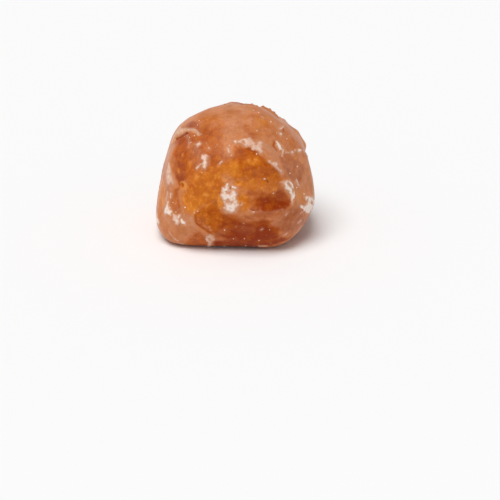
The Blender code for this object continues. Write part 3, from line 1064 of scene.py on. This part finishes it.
def make_flakes(skin_tree, flakes):
    """All flakes of dried sugar as one piece."""
    mesh = bpy.data.meshes.new("sugar_flakes")
    shell = bmesh.new()
    layer = shell.verts.layers.float.new("whiteness")
    for whiteness, corners, half_width, gaps in flakes:
        add_flake(shell, layer, skin_tree, whiteness, corners, half_width, gaps)
    shell.to_mesh(mesh)
    shell.free()
    return smooth_piece(mesh)


# Crumbs: how far the middle lies above the skin, and at least above the floor, as shares of the radius
CRUMB_RISE = 0.1
CRUMB_CLEARANCE = 1.5


def add_crumb(shell, skin_tree, direction, radius, chance):
    """One uneven grain of sugar, nearly half sunk into the skin."""
    ray = Vector(direction)
    place = skin_tree.ray_cast(CENTRE, ray)[0] + ray * radius * CRUMB_RISE
    place.z = max(place.z, CRUMB_CLEARANCE * radius)
    made = bmesh.ops.create_icosphere(shell, subdivisions=1, radius=radius)
    stretch = Vector([chance.uniform(0.7, 1.15) for _ in range(3)])
    for vertex in made["verts"]:
        uneven = 1 + chance.uniform(-0.2, 0.2)
        vertex.co = place + Vector([a * b for a, b in zip(vertex.co, stretch)]) * uneven


def make_crumbs(skin_tree):
    """All crumbs of dried sugar as one piece."""
    mesh = bpy.data.meshes.new("sugar_crumbs")
    shell = bmesh.new()
    chance = random.Random(13)
    for x, y, radius in SHOWN_CRUMBS:
        add_crumb(shell, skin_tree, seen_at((x, y)), radius * MM, chance)
    count, smallest, largest = HIDDEN_CRUMBS
    for _ in range(count):
        direction = towards(hidden_place(chance, 0.0))
        add_crumb(shell, skin_tree, direction, chance.uniform(smallest, largest) * MM, chance)
    shell.to_mesh(mesh)
    shell.free()
    return smooth_piece(mesh)


def new_material(name):
    """A node material and its shader."""
    material = bpy.data.materials.new(name)
    material.use_nodes = True
    return material, material.node_tree, material.node_tree.nodes["Principled BSDF"]


def fill_in(tree, node, inputs):
    """A node's inputs: those given as another node's output are linked, and the others get a fixed value."""
    for name, value in inputs.items():
        if isinstance(value, bpy.types.NodeSocket):
            tree.links.new(value, node.inputs[name])
        else:
            node.inputs[name].default_value = value


def output_of(tree, kind, output, inputs, **settings):
    """An output of a new node."""
    node = tree.nodes.new("ShaderNode" + kind)
    for name, value in settings.items():
        setattr(node, name, value)
    fill_in(tree, node, inputs)
    return node.outputs[output]


def value_of(tree, name):
    """A value that is painted on the mesh."""
    return output_of(tree, "Attribute", "Fac", {}, attribute_name=name)


def own_place(tree):
    """The place in the object's own space."""
    return output_of(tree, "TexCoord", "Object", {})


def noise_node(tree, length, detail):
    """Noise with waves of one length in millimetres."""
    inputs = {"Vector": own_place(tree), "Scale": 1 / (length * MM), "Detail": detail}
    return output_of(tree, "TexNoise", "Fac", inputs)


def mapped(tree, value, low, high, new_low, new_high):
    """A value moved from one range to another, and held inside it."""
    inputs = {"Value": value, "From Min": low, "From Max": high, "To Min": new_low, "To Max": new_high}
    return output_of(tree, "MapRange", "Result", inputs, interpolation_type="SMOOTHSTEP")


def noise_between(tree, length, detail, new_low, new_high, low=0.3, high=0.7):
    """Noise moved to a range, from the range that it mostly stays in."""
    return mapped(tree, noise_node(tree, length, detail), low, high, new_low, new_high)


def combined(tree, operation, first, second, clamped=False):
    """Two values, or a value and a number, added or multiplied."""
    inputs = {0: first, 1: second}
    return output_of(tree, "Math", "Value", inputs, operation=operation, use_clamp=clamped)


def ramp(tree, value, stops):
    """Colours along a value."""
    node = tree.nodes.new("ShaderNodeValToRGB")
    elements = node.color_ramp.elements
    while len(elements) < len(stops):
        elements.new(0.5)
    for element, (position, colour) in zip(elements, stops):
        element.position = position
        element.color = (*colour, 1.0)
    fill_in(tree, node, {"Fac": value})
    return node.outputs["Color"]


def mixed(tree, share, first, second):
    """Two colours mixed by a value."""
    inputs = {"Factor": share, "A": first, "B": second}
    return output_of(tree, "Mix", "Result", inputs, data_type="RGBA")


def bumped(tree, length, detail, height, inputs=None):
    """A normal that is tilted by noise, up to a height in millimetres."""
    inputs = {"Height": noise_node(tree, length, detail), "Distance": height * MM, **(inputs or {})}
    return output_of(tree, "Bump", "Normal", inputs)


# Colours of the crust from its deepest to its most golden tone, and of the film and the haze over it. The
# deepest crust also gives the painted shade in creases, in a hollow and low on the front, and the haze gives
# the painted sheen
CRUST_TONES = (
    (0.0, (0.27, 0.027, 0.0005)),
    (0.35, (0.46, 0.094, 0.004)),
    (0.7, (0.62, 0.180, 0.014)),
    (1.0, (0.72, 0.260, 0.036)),
)
FILM_TONES = ((0.3, (0.50, 0.180, 0.070)), (0.7, (0.65, 0.272, 0.135)))
HAZE_AND_SHEEN_TONES = ((0.3, (0.66, 0.37, 0.23)), (0.7, (0.75, 0.50, 0.36)))

# Colours of dried sugar from thin to thick, the whitest also giving painted highlights, and of its grains
SUGAR_TONES = (
    (0.0, (0.60, 0.27, 0.15)),
    (0.35, (0.66, 0.36, 0.24)),
    (0.8, (0.78, 0.54, 0.42)),
    (1.0, (0.86, 0.70, 0.61)),
)
GRAIN_TONES = ((0.35, (0.72, 0.48, 0.35)), (0.65, (0.88, 0.74, 0.64)))

# The tint of the crust's gloss: light that leaves it has gone through a little of the brown glaze
GLOSS_TINT = (1.0, 0.55, 0.28, 1.0)


def crust_material():
    """Fried crust of uneven tone under a thin film of dried glaze, with painted shade and sheen in places."""
    material, tree, shader = new_material("glazed_crust")
    grain = noise_between(tree, 0.35, 2.0, -0.06, 0.06)
    mottle = noise_between(tree, 2.2, 2.0, -0.12, 0.12)
    flecks = noise_between(tree, 1.0, 1.0, 0.0, 0.28, 0.50, 0.74)
    flecks = combined(tree, "MULTIPLY", flecks, mapped(tree, value_of(tree, "tone"), 0.05, 0.50, 0.25, 1.0))
    tone = combined(tree, "ADD", combined(tree, "ADD", value_of(tree, "tone"), mottle), flecks)
    tone = combined(tree, "ADD", tone, grain, clamped=True)
    crust = ramp(tree, tone, CRUST_TONES)
    film_colour = ramp(tree, noise_node(tree, 3.0, 2.0), FILM_TONES)
    thin_places = noise_between(tree, 1.5, 3.0, 0.80, 1.06, 0.35, 0.65)
    film = combined(tree, "MULTIPLY", value_of(tree, "film"), thin_places)
    film = combined(tree, "ADD", film, combined(tree, "MULTIPLY", grain, film), clamped=True)
    glazed = mixed(tree, film, crust, film_colour)
    haze_breaks = noise_between(tree, 0.5, 3.0, 0.5, 1.2, 0.35, 0.65)
    haze_and_sheen = combined(tree, "MULTIPLY", value_of(tree, "haze_and_sheen"), haze_breaks)
    haze_and_sheen = combined(tree, "ADD", haze_and_sheen, sugar_specks(tree), clamped=True)
    haze_and_sheen_colour = ramp(tree, noise_node(tree, 0.8, 2.0), HAZE_AND_SHEEN_TONES)
    uneven = noise_between(tree, 1.5, 3.0, -0.06, 0.06)
    duller = combined(tree, "MULTIPLY", film, 0.06)
    fill_in(tree, shader, {
        "Base Color": mixed(tree, haze_and_sheen, glazed, haze_and_sheen_colour),
        "Roughness": combined(tree, "ADD", combined(tree, "ADD", duller, uneven), 0.34),
        "Normal": bumped(tree, 0.32, 2.0, 0.02, {"Normal": bumped(tree, 1.2, 3.0, 0.08)}),
        "Specular IOR Level": 0.25,
        "Specular Tint": GLOSS_TINT,
        "Subsurface Weight": 0.25,
        "Subsurface Radius": (1.0, 0.35, 0.12),
        "Subsurface Scale": 0.8 * MM,
    })
    return material


def sugar_specks(tree):
    """Small round specks of sugar in the film, in places."""
    cells = {"Vector": own_place(tree), "Scale": 1 / (1.3 * MM)}
    distance = output_of(tree, "TexVoronoi", "Distance", cells)
    distance = combined(tree, "ADD", distance, noise_between(tree, 0.4, 2.0, -0.10, 0.10))
    specks = mapped(tree, distance, 0.04, 0.22, 0.50, 0.0)
    places = noise_between(tree, 2.6, 2.0, 0.0, 1.0, 0.48, 0.66)
    return combined(tree, "MULTIPLY", specks, places)


def sugar_material():
    """Dried sugar: translucent and pinkish where it is thin, and nearly white where it is thick."""
    material, tree, shader = new_material("dried_sugar")
    uneven = noise_between(tree, 0.8, 4.0, -0.22, 0.12)
    white = combined(tree, "ADD", value_of(tree, "whiteness"), uneven, clamped=True)
    fill_in(tree, shader, {
        "Base Color": ramp(tree, white, SUGAR_TONES),
        "Roughness": noise_between(tree, 0.5, 2.0, 0.32, 0.55),
        "Normal": bumped(tree, 0.45, 2.0, 0.03),
        "Specular IOR Level": 0.5,
        "Subsurface Weight": 0.3,
        "Subsurface Radius": (1.0, 0.6, 0.4),
        "Subsurface Scale": 0.4 * MM,
    })
    return material


def crumb_material():
    """Grains of sugar, nearly white."""
    material, tree, shader = new_material("dried_sugar_grains")
    fill_in(tree, shader, {
        "Base Color": ramp(tree, noise_node(tree, 1.5, 2.0), GRAIN_TONES),
        "Roughness": noise_between(tree, 0.6, 2.0, 0.4, 0.6),
    })
    return material


# The surroundings: how bright they are at the horizon and above, and the sines of the elevations between them
WORLD_HORIZON = 0.82
WORLD_ABOVE = 0.30
WORLD_RISE = (0.14, 0.42)

# The softbox: the direction it shines from, how wide it is seen from the lump, and its strength
KEY_PLACE = Vector((-0.22, -0.30, 1.0))
KEY_SPREAD = math.radians(42)
KEY_STRENGTH = 2.27

FLOOR_RADIUS = 3.0
FLOOR_COLOUR = (0.95, 0.95, 0.95, 1.0)


def make_stage():
    """A plain pale floor and soft studio light."""
    bpy.ops.mesh.primitive_circle_add(vertices=96, radius=FLOOR_RADIUS, fill_type="NGON")
    floor = bpy.context.object
    floor.name = "pale_floor"
    material, tree, shader = new_material("pale_floor")
    fill_in(tree, shader, {"Base Color": FLOOR_COLOUR, "Roughness": 0.9, "Specular IOR Level": 0.1})
    floor.data.materials.append(material)
    world = bpy.data.worlds.new("soft_fill")
    world.use_nodes = True
    tree = world.node_tree
    direction = output_of(tree, "TexCoord", "Generated", {})
    height = output_of(tree, "SeparateXYZ", "Z", {"Vector": direction})
    brightness = mapped(tree, height, *WORLD_RISE, WORLD_HORIZON, WORLD_ABOVE)
    fill_in(tree, tree.nodes["Background"], {"Strength": brightness, "Color": (1.0, 1.0, 1.0, 1.0)})
    bpy.context.scene.world = world
    light = bpy.data.lights.new("key_softbox", "SUN")
    light.angle = KEY_SPREAD
    light.energy = KEY_STRENGTH
    lamp = bpy.data.objects.new("key_softbox", light)
    lamp.location = KEY_PLACE
    lamp.rotation_euler = KEY_PLACE.to_track_quat("Z", "Y").to_euler()
    bpy.context.scene.collection.objects.link(lamp)


def make_camera():
    """The camera at the photograph's viewing angle."""
    camera = bpy.data.cameras.new("camera")
    camera.lens = LENS
    camera.sensor_width = SENSOR
    camera.clip_start = 10 * MM
    holder = bpy.data.objects.new("camera", camera)
    holder.location = camera_place()
    holder.rotation_euler = (math.pi / 2 - LOOKS_DOWN, 0, 0)
    bpy.context.scene.collection.objects.link(holder)
    bpy.context.scene.camera = holder


def finish_piece(piece, material):
    """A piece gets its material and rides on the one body."""
    piece.data.materials.append(material)
    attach(piece, "root")


lump_tree = load_lump()
flakes = list_flakes()
skin = make_skin(flakes)
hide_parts("doughnut")
finish_piece(skin, crust_material())
skin_tree = BVHTree.FromObject(skin, bpy.context.evaluated_depsgraph_get())
finish_piece(make_flakes(skin_tree, flakes), sugar_material())
finish_piece(make_crumbs(skin_tree), crumb_material())

make_stage()
make_camera()
bpy.context.scene.view_settings.view_transform = "Standard"
